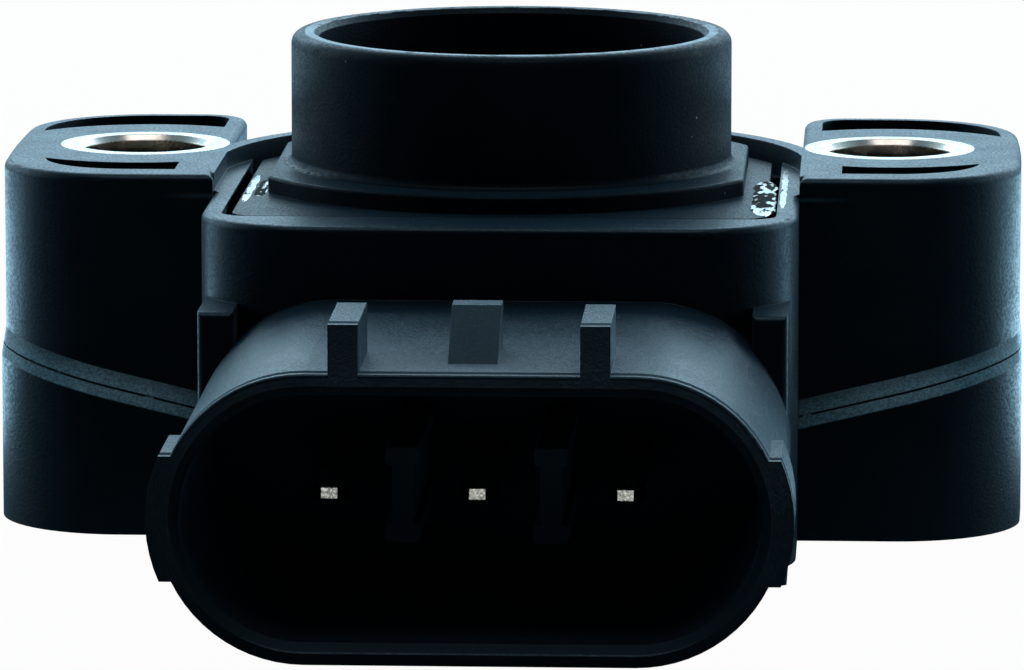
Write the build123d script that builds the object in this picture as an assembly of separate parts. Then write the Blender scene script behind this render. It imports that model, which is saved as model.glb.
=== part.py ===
from build123d import *
import math
import os

# Rotary throttle position sensor: a moulded housing with two bolt ears and a three-pin socket,
# a bonded cover with the pilot collar, and the sprung rotor, wiper and track board inside.
# The origin is on the rotor axis, in the mounting face. +Z leaves the collar towards the
# throttle body, the socket opens towards -Y and the bolt holes lie to either side along X.

# Steel sleeves in the bolt holes, which stand just outside the body's sides
BOLT_LINE_Y = 4.7
SLEEVE_OD = 7.5
SLEEVE_BORE = 5.5
SLEEVE_CHAMFER = 0.25
SLEEVE_SETBACK = 0.1

# Housing body, with heights measured down from the mounting face
BODY_HEIGHT = 15.6
FRONT_WALL = 3.1
BODY_CORNER_R = 4.7
PLATE_DROP = 0.76
PLATE_EDGE_R = 0.3
RIM_PROUD = 0.85
RIM_WALL = 0.7
FLOOR_THICK = 2.0

# Ears round the bolt holes
EAR_END = 5.8
EAR_CROWN = 0.35
EAR_HALF_DEPTH = 10.15
EAR_CORNER_R = 5.5
EAR_EDGE_R = 0.35
EAR_BACK_R = 2.0
EAR_FRONT_WALL = 1.8
EAR_BACK_WALL = 0.8
EAR_BOSS_R = 6.3
EAR_POCKET_DEPTH = 9.0
EAR_POCKET_SETBACK = 0.75
SKIRT_STEP = 1.05
SKIRT_END_STEP = 0.1
SKIRT_Z_OUTER = -8.4
SKIRT_Z_INNER = -10.7

# Connector socket
SOCKET_WIDTH = 24.95
SOCKET_HEIGHT = 11.75
SOCKET_WALL = 0.88
SOCKET_REACH = 19.17
SOCKET_DEPTH = 15.97
SOCKET_LIP_CHAMFER = 0.4
SOCKET_EDGE_R = 0.15
CHEEK_SETBACK = 0.3
CHEEK_WIDTH = 1.5
CHEEK_REACH = 1.4
CHEEK_TOP_Z = -4.2
CHEEK_EDGE_R = 0.3
LOCK_PROUD = 0.42
LOCK_HALF_HEIGHT = 2.53
LOCK_LENGTH = 5.0

# Ribs on top of the socket
KEY_X = 5.0
KEY_WIDTH = 1.2
KEY_HEIGHT = 2.0
KEY_LENGTH = 5.7
LATCH_WIDTH = 2.0
LATCH_HEIGHT = 1.9
LATCH_TOE = 2.8
LATCH_RAMP = 3.2
LATCH_LENGTH = 4.45

# Terminals, and the dividers between them
TERMINAL_PITCH = 6.0
TERMINAL_WIDTH = 1.5
TERMINAL_THICK = 0.8
TERMINAL_RECESS = 6.17
TERMINAL_TIP_WIDTH = 0.68
TERMINAL_TIP_THICK = 0.48
TERMINAL_TAPER = 1.4
TERMINAL_TAIL_GAP = 0.2
DIVIDER_HEIGHT = 3.9
DIVIDER_FLANGE = 1.4
DIVIDER_FLANGE_HEIGHT = 0.75
DIVIDER_FLANGE_R = 0.22
DIVIDER_WEB = 0.85
DIVIDER_PROUD = 0.3

# Cover with pedestal and pilot collar
COVER_THICK = 2.0
SEAT_WALL = 0.9
SEAT_FRONT_LAND = 0.7
SEAT_CORNER_R = 1.0
SEAL_GAP = 0.45
SEAL_DROP = 0.6
SEAT_FRONT_GAP = 0.08
PEDESTAL_LAND = 2.0
PEDESTAL_SIDE_LAND = 0.65
COVER_SIDE_LEDGE = 1.05
PEDESTAL_CORNER_R = 0.6
PEDESTAL_EDGE_R = 0.15
COLLAR_OD = 19.2
COLLAR_WALL = 1.2
COLLAR_HEIGHT = 5.7
COLLAR_LIP_R = 0.5
COLLAR_LIP_CHAMFER = 0.25
COLLAR_ROOT_R = 0.35
WEB_THICK = 1.8

# Chamber, pivot post and stops
CHAMBER_PROUD = 0.3
CHAMBER_BAY_SIDE = 0.95
CHAMBER_BAY_FRONT = 0.9
POST_R = 2.0
POST_HEIGHT = 4.3
POST_BASE_R = 3.2
POST_BASE_HEIGHT = 1.2
POST_END_GAP = 0.3
STOP_DEPTH = 0.85
STOP_RISE = 0.5
STOP_ANGLE = 12.0
STOP_NOTCH_ANGLE = 3.0

# Track board and its printed tracks
BOARD_THICK = 0.8
BOARD_CLEARANCE = 0.3
TRACK_THICK = 0.06
TRACK_WIDTH = 1.2
TRACK_SPACING = 2.4
COLLECTOR_INSET = 1.1
RESISTOR_END_ANGLES = (180.0, 330.0)
COLLECTOR_END_ANGLES = (190.0, 320.0)
TRACK_TURN_ANGLE = 5.0
LEAD_WIDTH = 0.8
LEAD_GAP = 0.2
PAD_LENGTH = 1.8
PAD_MARGIN = 0.6
SOLDER_HEIGHT = 0.8
SOLDER_FOOT = 0.45
SOLDER_NECK = 0.1

# Rotor, return spring and wiper
RUNNING_CLEARANCE = 0.05
HUB_R = 6.0
HUB_TOP_Z = 1.2
DISC_CLEARANCE = 0.35
DISC_RISE = 4.0
DISC_THICK = 1.8
BOSS_R = 3.4
DRIVE_SLOT_LENGTH = 8.4
DRIVE_SLOT_WIDTH = 4.0
DRIVE_SLOT_DEPTH = 4.5
DRIVE_SLOT_CHAMFER = 0.4
LUG_CLEARANCE = 0.4
LUG_HALF_ANGLE = 9.0
LUG_REST_ANGLE = 10.0
ROTOR_TRAVEL = 100.0
STOP_GAP_ANGLE = 2.0
WASHER_THICK = 0.25
SPRING_WIRE = 0.6
SPRING_CLEARANCE = 0.7
SPRING_COIL_GAP = 0.35
SPRING_PART_TURN = 0.25
SPRING_SEAT = 0.2
SPRING_LEG = 1.3
SPRING_START_ANGLE = 75.0
SPRING_HOLE_CLEARANCE = 0.1
WIPER_SHEET = 0.15
WIPER_END_ANGLE = 180.0
WIPER_SWEEP_ANGLE = 44.0
FINGER_WIDTH = 0.45
FINGER_RUN = 2.6
FINGER_TOE = 0.5
FINGER_SHIFT = 0.35
FINGER_CLEARANCE = 0.05
STAKE_R = 0.5
STAKE_HEIGHT = 0.45
STAKE_CLEARANCE = 0.03
STAKE_ANGLES = (-10.0, -34.0)

# Depth that a rib is carried into its wall, and the distance that a cut runs past a face
ROOT_DEPTH = 0.3
CUT_PAST = 1.0

# Values that follow from the sizes above
PLATE_Z = -PLATE_DROP
LEDGE_Z = PLATE_Z - COVER_THICK
WEB_TOP_Z = LEDGE_Z + WEB_THICK
COLLAR_R = COLLAR_OD / 2
COLLAR_BORE_R = COLLAR_R - COLLAR_WALL
PEDESTAL_R = COLLAR_R + PEDESTAL_LAND
PEDESTAL_HALF_FLAT = COLLAR_R + PEDESTAL_SIDE_LAND
SEAT_HALF_WIDTH = PEDESTAL_HALF_FLAT + COVER_SIDE_LEDGE + SEAL_GAP
SEAT_FRONT = PEDESTAL_R + SEAT_FRONT_LAND
BODY_HALF_WIDTH = SEAT_HALF_WIDTH + SEAT_WALL
BODY_FRONT = SEAT_FRONT + FRONT_WALL
RIM_R = BODY_HALF_WIDTH + RIM_PROUD
SEAT_BACK_R = RIM_R - RIM_WALL
SLEEVE_X = BODY_HALF_WIDTH + SLEEVE_SETBACK + SLEEVE_OD / 2
EAR_REACH = SLEEVE_X + EAR_END
SOCKET_Z = SOCKET_HEIGHT / 2 - BODY_HEIGHT
SOCKET_TOP_Z = SOCKET_HEIGHT - BODY_HEIGHT
SOCKET_MOUTH = BODY_FRONT + SOCKET_REACH
SOCKET_FLOOR = SOCKET_MOUTH - SOCKET_DEPTH
TERMINAL_TIP_Y = SOCKET_MOUTH - TERMINAL_RECESS
DIVIDER_FRONT = TERMINAL_TIP_Y + DIVIDER_PROUD
CHAMBER_R = COLLAR_R + CHAMBER_PROUD
CHAMBER_FLOOR_Z = FLOOR_THICK - BODY_HEIGHT
POST_TOP_Z = CHAMBER_FLOOR_Z + POST_HEIGHT
POST_BASE_Z = CHAMBER_FLOOR_Z + POST_BASE_HEIGHT
TERMINAL_TAIL_Y = CHAMBER_R + TERMINAL_TAIL_GAP + TERMINAL_THICK / 2
TERMINAL_X = {"left": -TERMINAL_PITCH, "middle": 0.0, "right": TERMINAL_PITCH}
BAY_HALF = TERMINAL_PITCH + TERMINAL_WIDTH / 2 + CHAMBER_BAY_SIDE
BAY_FRONT = TERMINAL_TAIL_Y + TERMINAL_THICK / 2 + CHAMBER_BAY_FRONT
BOARD_TOP_Z = CHAMBER_FLOOR_Z + BOARD_THICK
TRACK_TOP_Z = BOARD_TOP_Z + TRACK_THICK
STOP_R = CHAMBER_R - STOP_DEPTH
DISC_R = STOP_R - DISC_CLEARANCE
COLLECTOR_R = DISC_R - COLLECTOR_INSET
RESISTOR_R = COLLECTOR_R - TRACK_SPACING
DISC_BOTTOM_Z = CHAMBER_FLOOR_Z + DISC_RISE
DISC_TOP_Z = DISC_BOTTOM_Z + DISC_THICK
LUG_SWEEP_START = LUG_REST_ANGLE - LUG_HALF_ANGLE - STOP_GAP_ANGLE
LUG_SWEEP_END = LUG_REST_ANGLE + ROTOR_TRAVEL + LUG_HALF_ANGLE + STOP_GAP_ANGLE
STOP_STARTS = (LUG_SWEEP_START - STOP_ANGLE, LUG_SWEEP_END)
SPRING_WIRE_R = SPRING_WIRE / 2
SPRING_R = HUB_R + SPRING_CLEARANCE + SPRING_WIRE_R
SPRING_HOLE_R = SPRING_WIRE_R + SPRING_HOLE_CLEARANCE
SPRING_BOTTOM_Z = DISC_TOP_Z + SPRING_SEAT + SPRING_WIRE_R
SPRING_TOP_Z = LEDGE_Z - SPRING_SEAT - SPRING_WIRE_R
SPRING_RISE = SPRING_TOP_Z - SPRING_BOTTOM_Z
SPRING_TURNS = math.floor(SPRING_RISE / (SPRING_WIRE + SPRING_COIL_GAP)) + SPRING_PART_TURN
SPRING_PITCH = SPRING_RISE / SPRING_TURNS
SPRING_SLOPE = math.sin(math.atan2(SPRING_PITCH, 2 * math.pi * SPRING_R))
SPRING_BEND_R = SPRING_SEAT + SPRING_WIRE_R
SPRING_END_ANGLE = SPRING_START_ANGLE - 360.0 * SPRING_TURNS
STAKE_PLACE_R = (RESISTOR_R + COLLECTOR_R) / 2


def slab(plan, low, high):
    """A plan drawn in the XY plane, raised from one height to another."""
    return extrude(Pos(0, 0, low) * plan, high - low)


def block(x_range, y_range, z_range):
    """A box given by its extents along each axis."""
    size = [high - low for low, high in (x_range, y_range, z_range)]
    middle = [(high + low) / 2 for low, high in (x_range, y_range, z_range)]
    return Pos(*middle) * Box(*size)


def both_sides(shape):
    """A shape together with its mirror image across the middle plane."""
    return shape + mirror(shape, Plane.YZ)


def polar(radius, angle):
    """A point in the XY plane at a radius and an angle in degrees."""
    return (radius * math.cos(math.radians(angle)), radius * math.sin(math.radians(angle)))


def ring_sector(inner_r, outer_r, start, end):
    """A plan of the part of a ring between two angles."""
    middle = (start + end) / 2
    outline = [
        ThreePointArc(polar(outer_r, start), polar(outer_r, middle), polar(outer_r, end)),
        Line(polar(outer_r, end), polar(inner_r, end)),
        ThreePointArc(polar(inner_r, end), polar(inner_r, middle), polar(inner_r, start)),
        Line(polar(inner_r, start), polar(outer_r, start)),
    ]
    return make_face(outline)


def seat_plan(half_width, back_r, front):
    """The cover's outline: straight sides, a rounded back and a square front."""
    reach = Pos(0, (back_r - front) / 2) * Rectangle(2 * half_width, back_r + front)
    nose = Pos(0, -front / 2) * Rectangle(2 * half_width, front)
    plan = nose + (Circle(back_r) & reach)
    return fillet(plan.vertices().group_by(Axis.Y)[0], SEAT_CORNER_R)


def cover_plan():
    """The outline of the cover's plate: the seat less the groove for the sealant."""
    return seat_plan(SEAT_HALF_WIDTH - SEAL_GAP, SEAT_BACK_R - SEAL_GAP, SEAT_FRONT - SEAT_FRONT_GAP)


def ring_edges(solid, radius, z):
    """The circular edges of a solid that have a given radius and height."""
    circles = solid.edges().filter_by(GeomType.CIRCLE)
    return circles.filter_by(lambda e: math.isclose(e.radius, radius) and abs(e.center().Z - z) < 1e-6)


def ear_plan(reach, half_depth):
    """The right ear seen from above, with a slightly crowned end."""
    front = BOLT_LINE_Y - half_depth
    back = BOLT_LINE_Y + half_depth
    end = reach - EAR_CROWN
    outline = [
        Line((BODY_HALF_WIDTH, back), (BODY_HALF_WIDTH, front)),
        Line((BODY_HALF_WIDTH, front), (end, front)),
        ThreePointArc((end, front), (reach, BOLT_LINE_Y), (end, back)),
        Line((end, back), (BODY_HALF_WIDTH, back)),
    ]
    plan = make_face(outline)
    plan = fillet(plan.vertices().group_by(Axis.X)[-1], EAR_CORNER_R)
    return fillet(plan.vertices().group_by(Axis.X)[0].sort_by(Axis.Y)[-1], EAR_BACK_R)


def ear_pocket(wall, side):
    """The plan of one coring pocket, between an ear's wall and the round boss on one side of it."""
    reach = EAR_REACH + EAR_HALF_DEPTH
    half = Pos(reach / 2, BOLT_LINE_Y + side * reach / 2) * Rectangle(reach, reach)
    boss = Pos(SLEEVE_X, BOLT_LINE_Y) * Circle(EAR_BOSS_R)
    inner = Rectangle(2 * (BODY_HALF_WIDTH + EAR_POCKET_SETBACK), 4 * reach)
    return (offset(ear_plan(EAR_REACH, EAR_HALF_DEPTH), -wall) & half) - boss - inner


def below(prism, plane):
    """The part of an upright prism below a plane, and the face that the plane cuts."""
    lower = split(prism, plane, keep=Keep.BOTTOM)
    return lower, lower.faces().sort_by(Axis.Z)[-1]


def ear():
    """The right ear: a block with a soft top edge over a skirt that stands proud at the mould split."""
    block_plan = ear_plan(EAR_REACH, EAR_HALF_DEPTH)
    skirt_plan = ear_plan(EAR_REACH + SKIRT_END_STEP, EAR_HALF_DEPTH + SKIRT_STEP)
    upper = slab(block_plan, -BODY_HEIGHT, 0)
    rim = upper.faces().sort_by(Axis.Z)[-1].edges().sort_by(Axis.X)[1:]
    upper = fillet(rim, EAR_EDGE_R)

    run = EAR_REACH - BODY_HALF_WIDTH
    rise = SKIRT_Z_OUTER - SKIRT_Z_INNER
    parting = Plane(origin=(BODY_HALF_WIDTH, 0, SKIRT_Z_INNER), x_dir=(run, 0, rise), z_dir=(-rise, 0, run))
    skirt, skirt_top = below(slab(skirt_plan, -BODY_HEIGHT, 0), parting)
    bevel_top = below(slab(block_plan, -BODY_HEIGHT, 0), Pos(0, 0, SKIRT_STEP) * parting)[1]
    bevel = loft([skirt_top, bevel_top], ruled=True)

    pockets = ear_pocket(EAR_FRONT_WALL, -1) + ear_pocket(EAR_BACK_WALL, 1)
    return upper + skirt + bevel - slab(pockets, -EAR_POCKET_DEPTH, CUT_PAST)


def socket_slot(inset):
    """The socket's stadium outline on the XZ plane, shrunk by an inset."""
    return Pos(0, SOCKET_Z) * SlotOverall(SOCKET_WIDTH - 2 * inset, SOCKET_HEIGHT - 2 * inset)


def socket_shroud():
    """The open socket's outer wall, with side locks, key ribs and the latch ramp."""
    front_plane = Plane.XZ.offset(SOCKET_MOUTH)
    length = SOCKET_MOUTH - BODY_FRONT + ROOT_DEPTH
    wall = extrude(front_plane * socket_slot(0), -length)
    wall = fillet(wall.faces().sort_by(Axis.Y)[0].edges(), SOCKET_EDGE_R)

    lock = socket_slot(-LOCK_PROUD) - socket_slot(SOCKET_WALL)
    band = Pos(0, SOCKET_Z) * Rectangle(2 * SOCKET_WIDTH, 2 * LOCK_HALF_HEIGHT)
    locks = extrude(front_plane * (lock & band), -LOCK_LENGTH)

    key = block(
        (KEY_X - KEY_WIDTH / 2, KEY_X + KEY_WIDTH / 2),
        (-SOCKET_MOUTH, KEY_LENGTH - SOCKET_MOUTH),
        (SOCKET_TOP_Z - SOCKET_WALL / 2, SOCKET_TOP_Z + KEY_HEIGHT),
    )
    toe = LATCH_TOE - SOCKET_MOUTH
    ramp = Polyline(
        (toe, SOCKET_TOP_Z - SOCKET_WALL / 2),
        (toe, SOCKET_TOP_Z),
        (toe + LATCH_RAMP, SOCKET_TOP_Z + LATCH_HEIGHT),
        (toe + LATCH_LENGTH, SOCKET_TOP_Z + LATCH_HEIGHT),
        (toe + LATCH_LENGTH, SOCKET_TOP_Z - SOCKET_WALL / 2),
        close=True,
    )
    latch = extrude(Plane.YZ * make_face(ramp), LATCH_WIDTH / 2, both=True)
    return wall + locks + both_sides(key) + latch


def socket_hollow():
    """The space that the plug goes into, with a chamfered mouth."""
    depth = SOCKET_MOUTH - SOCKET_FLOOR
    front_plane = Plane.XZ.offset(SOCKET_MOUTH)
    hollow = extrude(front_plane * socket_slot(SOCKET_WALL), -depth)
    lip = loft(
        [
            front_plane * socket_slot(SOCKET_WALL - SOCKET_LIP_CHAMFER),
            front_plane.offset(-SOCKET_LIP_CHAMFER) * socket_slot(SOCKET_WALL),
        ]
    )
    return hollow + lip


def divider():
    """One upright between two terminals: a web with a rounded flange at each end."""
    flange_y = (DIVIDER_HEIGHT - DIVIDER_FLANGE_HEIGHT) / 2
    flange = RectangleRounded(DIVIDER_FLANGE, DIVIDER_FLANGE_HEIGHT, DIVIDER_FLANGE_R)
    section = Rectangle(DIVIDER_WEB, DIVIDER_HEIGHT - DIVIDER_FLANGE_HEIGHT)
    section = section + Pos(0, flange_y) * flange + Pos(0, -flange_y) * flange
    place = Plane.XZ.offset(DIVIDER_FRONT) * Pos(TERMINAL_PITCH / 2, SOCKET_Z)
    return extrude(place * section, SOCKET_FLOOR - DIVIDER_FRONT - ROOT_DEPTH)


def chamber_plan(clearance):
    """The round rotor chamber with its square bay for the terminal tails."""
    bay_front = BAY_FRONT - clearance
    bay = Pos(0, -bay_front / 2) * Rectangle(2 * (BAY_HALF - clearance), bay_front)
    return Circle(CHAMBER_R - clearance) + bay


def stop_ribs():
    """Ribs on the chamber wall that the rotor's lug meets at each end of its travel."""
    ribs = []
    for start in STOP_STARTS:
        plan = ring_sector(STOP_R, CHAMBER_R + ROOT_DEPTH, start, start + STOP_ANGLE)
        ribs.append(slab(plan, CHAMBER_FLOOR_Z - ROOT_DEPTH, DISC_TOP_Z + STOP_RISE))
    return ribs[0] + ribs[1]


def terminal(x):
    """A flat terminal, tapered at its tip and turned down onto the board at its tail."""
    half_t = TERMINAL_THICK / 2
    bend = Polyline(
        (-TERMINAL_TIP_Y + TERMINAL_TAPER, SOCKET_Z - half_t),
        (-TERMINAL_TIP_Y + TERMINAL_TAPER, SOCKET_Z + half_t),
        (-TERMINAL_TAIL_Y + half_t, SOCKET_Z + half_t),
        (-TERMINAL_TAIL_Y + half_t, TRACK_TOP_Z),
        (-TERMINAL_TAIL_Y - half_t, TRACK_TOP_Z),
        (-TERMINAL_TAIL_Y - half_t, SOCKET_Z - half_t),
        close=True,
    )
    strip = extrude(Plane.YZ.offset(x) * make_face(bend), TERMINAL_WIDTH / 2, both=True)
    tip = loft(
        [
            Plane.XZ.offset(TERMINAL_TIP_Y - TERMINAL_TAPER) * Pos(x, SOCKET_Z)
            * Rectangle(TERMINAL_WIDTH, TERMINAL_THICK),
            Plane.XZ.offset(TERMINAL_TIP_Y) * Pos(x, SOCKET_Z)
            * Rectangle(TERMINAL_TIP_WIDTH, TERMINAL_TIP_THICK),
        ]
    )
    return strip + tip


def housing():
    """The one-piece moulding that carries everything else."""
    body = block((-BODY_HALF_WIDTH, BODY_HALF_WIDTH), (-BODY_FRONT, 0), (-BODY_HEIGHT, PLATE_Z))
    body = fillet(body.edges().filter_by(Axis.Z).group_by(Axis.Y)[0], BODY_CORNER_R)
    brow = body.faces().sort_by(Axis.Z)[-1].edges().sort_by(Axis.Y)[:-1]
    body = fillet(brow, PLATE_EDGE_R)
    body = body + slab(Circle(RIM_R), -BODY_HEIGHT, 0) + both_sides(ear())

    open_front = Pos(0, -BODY_FRONT) * Rectangle(2 * BODY_HALF_WIDTH, 2 * BODY_FRONT)
    open_back = Circle(SEAT_BACK_R) & Rectangle(2 * BODY_HALF_WIDTH, 2 * SEAT_BACK_R)
    body = body - slab(open_front + open_back, PLATE_Z, CUT_PAST)
    body = body - slab(seat_plan(SEAT_HALF_WIDTH, SEAT_BACK_R, SEAT_FRONT), LEDGE_Z, CUT_PAST)
    body = body - slab(chamber_plan(0), CHAMBER_FLOOR_Z, CUT_PAST)
    body = body + stop_ribs()
    body = body + slab(Circle(POST_BASE_R), CHAMBER_FLOOR_Z - ROOT_DEPTH, POST_BASE_Z)
    body = body + slab(Circle(POST_R), CHAMBER_FLOOR_Z - ROOT_DEPTH, POST_TOP_Z)

    cheek_x = BODY_HALF_WIDTH - CHEEK_SETBACK
    cheek = block(
        (cheek_x - CHEEK_WIDTH, cheek_x),
        (-BODY_FRONT - CHEEK_REACH, BODY_CORNER_R - BODY_FRONT),
        (-BODY_HEIGHT, CHEEK_TOP_Z),
    )
    cheek = fillet(cheek.faces().sort_by(Axis.Y)[0].edges().sort_by(Axis.Z)[1:], CHEEK_EDGE_R)
    body = body + both_sides(cheek) + socket_shroud()
    body = body - socket_hollow() + both_sides(divider())
    for x in TERMINAL_X.values():
        body = body - terminal(x)
    for side in (-1, 1):
        hole = Pos(side * SLEEVE_X, BOLT_LINE_Y) * Circle(SLEEVE_OD / 2)
        body = body - slab(hole, -BODY_HEIGHT - CUT_PAST, CUT_PAST)
    return body


def spring_leg_hole(end_angle, turn):
    """The plan of the hole for a spring leg, which stands just past the coil's end."""
    past_end = polar(SPRING_BEND_R * (1 - SPRING_SLOPE), end_angle + turn * 90.0)
    return Pos(*polar(SPRING_R, end_angle)) * Pos(*past_end) * Circle(SPRING_HOLE_R)


def collar_cover():
    """The bonded cover: seat plate, double-D pedestal and the pilot collar."""
    plate = slab(cover_plan(), LEDGE_Z, PLATE_Z)

    plan = Circle(PEDESTAL_R) & Rectangle(2 * PEDESTAL_HALF_FLAT, 2 * PEDESTAL_R)
    plan = fillet(plan.vertices(), PEDESTAL_CORNER_R)
    pedestal = slab(plan, PLATE_Z, 0)
    pedestal = fillet(pedestal.faces().sort_by(Axis.Z)[-1].edges(), PEDESTAL_EDGE_R)

    collar = slab(Circle(COLLAR_R), PLATE_Z, COLLAR_HEIGHT)
    collar = fillet(collar.faces().sort_by(Axis.Z)[-1].edges(), COLLAR_LIP_R)
    cover = plate + pedestal + collar
    cover = fillet(ring_edges(cover, COLLAR_R, 0), COLLAR_ROOT_R)
    cover = cover - slab(Circle(COLLAR_BORE_R), WEB_TOP_Z, COLLAR_HEIGHT + CUT_PAST)
    cover = chamfer(ring_edges(cover, COLLAR_BORE_R, COLLAR_HEIGHT), COLLAR_LIP_CHAMFER)
    cover = cover - slab(Circle(HUB_R + RUNNING_CLEARANCE), LEDGE_Z - CUT_PAST, CUT_PAST)
    leg_hole = spring_leg_hole(SPRING_END_ANGLE, -1)
    return cover - slab(leg_hole, LEDGE_Z - CUT_PAST, LEDGE_Z + SPRING_LEG + SPRING_HOLE_CLEARANCE)


def sealant():
    """The bead that fills the groove along the cover's sides and back."""
    groove = seat_plan(SEAT_HALF_WIDTH, SEAT_BACK_R, SEAT_FRONT) - cover_plan()
    front_strip = Pos(0, -SEAT_FRONT) * Rectangle(4 * SEAT_HALF_WIDTH, 4 * SEAT_CORNER_R)
    return slab(groove - front_strip, LEDGE_Z, PLATE_Z - SEAL_DROP)


def bushing():
    """A steel sleeve that takes the bolt's clamping load, with chamfered bore ends."""
    sleeve = slab(Circle(SLEEVE_OD / 2) - Circle(SLEEVE_BORE / 2), -BODY_HEIGHT, 0)
    bore = SLEEVE_BORE / 2
    ends = ring_edges(sleeve, bore, 0) + ring_edges(sleeve, bore, -BODY_HEIGHT)
    return chamfer(ends, SLEEVE_CHAMFER)


def solder(x):
    """The solder joint round a terminal's tail on its pad."""
    foot = Rectangle(TERMINAL_WIDTH + 2 * SOLDER_FOOT, TERMINAL_THICK + 2 * SOLDER_FOOT)
    neck = Rectangle(TERMINAL_WIDTH + 2 * SOLDER_NECK, TERMINAL_THICK + 2 * SOLDER_NECK)
    tail = Pos(x, -TERMINAL_TAIL_Y)
    top_z = TRACK_TOP_Z + SOLDER_HEIGHT
    cone = loft([Pos(0, 0, TRACK_TOP_Z) * tail * foot, Pos(0, 0, top_z) * tail * neck])
    return cone - slab(tail * Rectangle(TERMINAL_WIDTH, TERMINAL_THICK), TRACK_TOP_Z, top_z)


def track_board():
    """The ceramic board on the chamber's floor, open round the pivot post and clear of the stops."""
    plan = chamber_plan(BOARD_CLEARANCE) - Circle(POST_BASE_R + BOARD_CLEARANCE)
    for start in STOP_STARTS:
        notch_start = start - STOP_NOTCH_ANGLE
        notch_end = start + STOP_ANGLE + STOP_NOTCH_ANGLE
        plan = plan - ring_sector(STOP_R - BOARD_CLEARANCE, CHAMBER_R, notch_start, notch_end)
    return slab(plan, CHAMBER_FLOOR_Z, BOARD_TOP_Z)


def pad(x):
    """The plan of one solder pad at the board's front edge."""
    return Pos(x, -TERMINAL_TAIL_Y) * Rectangle(TERMINAL_WIDTH + 2 * PAD_MARGIN, PAD_LENGTH)


def straight_lead(x, start_y):
    """The plan of a printed lead that runs forward to a pad."""
    length = TERMINAL_TAIL_Y + start_y
    return Pos(x, start_y - length / 2) * Rectangle(LEAD_WIDTH, length)


def resistor_track():
    """The printed resistor arc, with a lead round each end of the collector to its pad."""
    start, end = RESISTOR_END_ANGLES
    half = TRACK_WIDTH / 2
    lead_r = COLLECTOR_R + TRACK_WIDTH + LEAD_GAP
    lead_in = lead_r - LEAD_WIDTH / 2
    lead_out = lead_r + LEAD_WIDTH / 2
    pad_angle = math.degrees(math.acos(TERMINAL_PITCH / lead_r))
    pad_y = -lead_r * math.sin(math.radians(pad_angle))
    plan = ring_sector(RESISTOR_R - half, RESISTOR_R + half, start, end)
    plan = plan + ring_sector(RESISTOR_R, lead_out, start, start + TRACK_TURN_ANGLE)
    plan = plan + ring_sector(RESISTOR_R, lead_out, end - TRACK_TURN_ANGLE, end)
    plan = plan + ring_sector(lead_in, lead_out, start, 180.0 + pad_angle)
    plan = plan + ring_sector(lead_in, lead_out, 360.0 - pad_angle, end)
    for x in (-TERMINAL_PITCH, TERMINAL_PITCH):
        plan = plan + straight_lead(x, pad_y) + pad(x)
    return slab(plan, BOARD_TOP_Z, TRACK_TOP_Z)


def collector_track():
    """The printed collector arc that carries the signal to the middle pad."""
    start, end = COLLECTOR_END_ANGLES
    half = TRACK_WIDTH / 2
    plan = ring_sector(COLLECTOR_R - half, COLLECTOR_R + half, start, end)
    plan = plan + straight_lead(0, -COLLECTOR_R) + pad(0)
    return slab(plan, BOARD_TOP_Z, TRACK_TOP_Z)


def stake_places():
    """Where the rotor's stakes hold the wiper, on its strip."""
    return [polar(STAKE_PLACE_R, WIPER_END_ANGLE + angle) for angle in STAKE_ANGLES]


def rotor():
    """The turned-through hub, spring disc, stop lug and the drive slot for the throttle shaft."""
    body = slab(Circle(HUB_R), DISC_TOP_Z, HUB_TOP_Z)
    body = body + slab(Circle(DISC_R), DISC_BOTTOM_Z, DISC_TOP_Z)
    lug_start = LUG_REST_ANGLE - LUG_HALF_ANGLE
    lug_end = LUG_REST_ANGLE + LUG_HALF_ANGLE
    lug = ring_sector(DISC_R - ROOT_DEPTH, CHAMBER_R - LUG_CLEARANCE, lug_start, lug_end)
    body = body + slab(lug, DISC_BOTTOM_Z, DISC_TOP_Z)
    for place in stake_places():
        body = body + slab(Pos(*place) * Circle(STAKE_R), DISC_BOTTOM_Z - STAKE_HEIGHT, DISC_BOTTOM_Z)
    foot_z = POST_BASE_Z + WASHER_THICK + RUNNING_CLEARANCE
    body = body + slab(Circle(BOSS_R), foot_z, DISC_BOTTOM_Z)
    body = body - slab(Circle(POST_R + RUNNING_CLEARANCE), foot_z - CUT_PAST, POST_TOP_Z + POST_END_GAP)

    slot = SlotOverall(DRIVE_SLOT_LENGTH, DRIVE_SLOT_WIDTH)
    body = body - slab(slot, HUB_TOP_Z - DRIVE_SLOT_DEPTH, HUB_TOP_Z + CUT_PAST)
    mouth = body.faces().sort_by(Axis.Z)[-1]
    body = chamfer(mouth.inner_wires()[0].edges(), DRIVE_SLOT_CHAMFER)
    leg_hole = spring_leg_hole(SPRING_START_ANGLE, 1)
    return body - slab(leg_hole, DISC_BOTTOM_Z - CUT_PAST, DISC_TOP_Z + CUT_PAST)


def thrust_washer():
    """The washer under the rotor's foot."""
    plan = Circle(POST_BASE_R) - Circle(POST_R + RUNNING_CLEARANCE)
    return slab(plan, POST_BASE_Z, POST_BASE_Z + WASHER_THICK)


def spring_leg(start, heading):
    """One end of the spring's wire, bent from the coil's heading to stand along the axis."""
    along = Vector(heading.X, heading.Y, 0).normalized()
    upward = Vector(0, 0, math.copysign(1, heading.Z))
    bend_end = start + along * SPRING_BEND_R * (1 - SPRING_SLOPE)
    bend_end = bend_end + upward * SPRING_BEND_R * math.sqrt(1 - SPRING_SLOPE**2)
    bend = TangentArc(start, bend_end, tangent=heading)
    stem = Line(bend_end, bend_end + upward * SPRING_LEG)
    wire = Plane(origin=start, z_dir=heading) * Circle(SPRING_WIRE_R)
    return sweep(wire, path=bend + stem)


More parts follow.
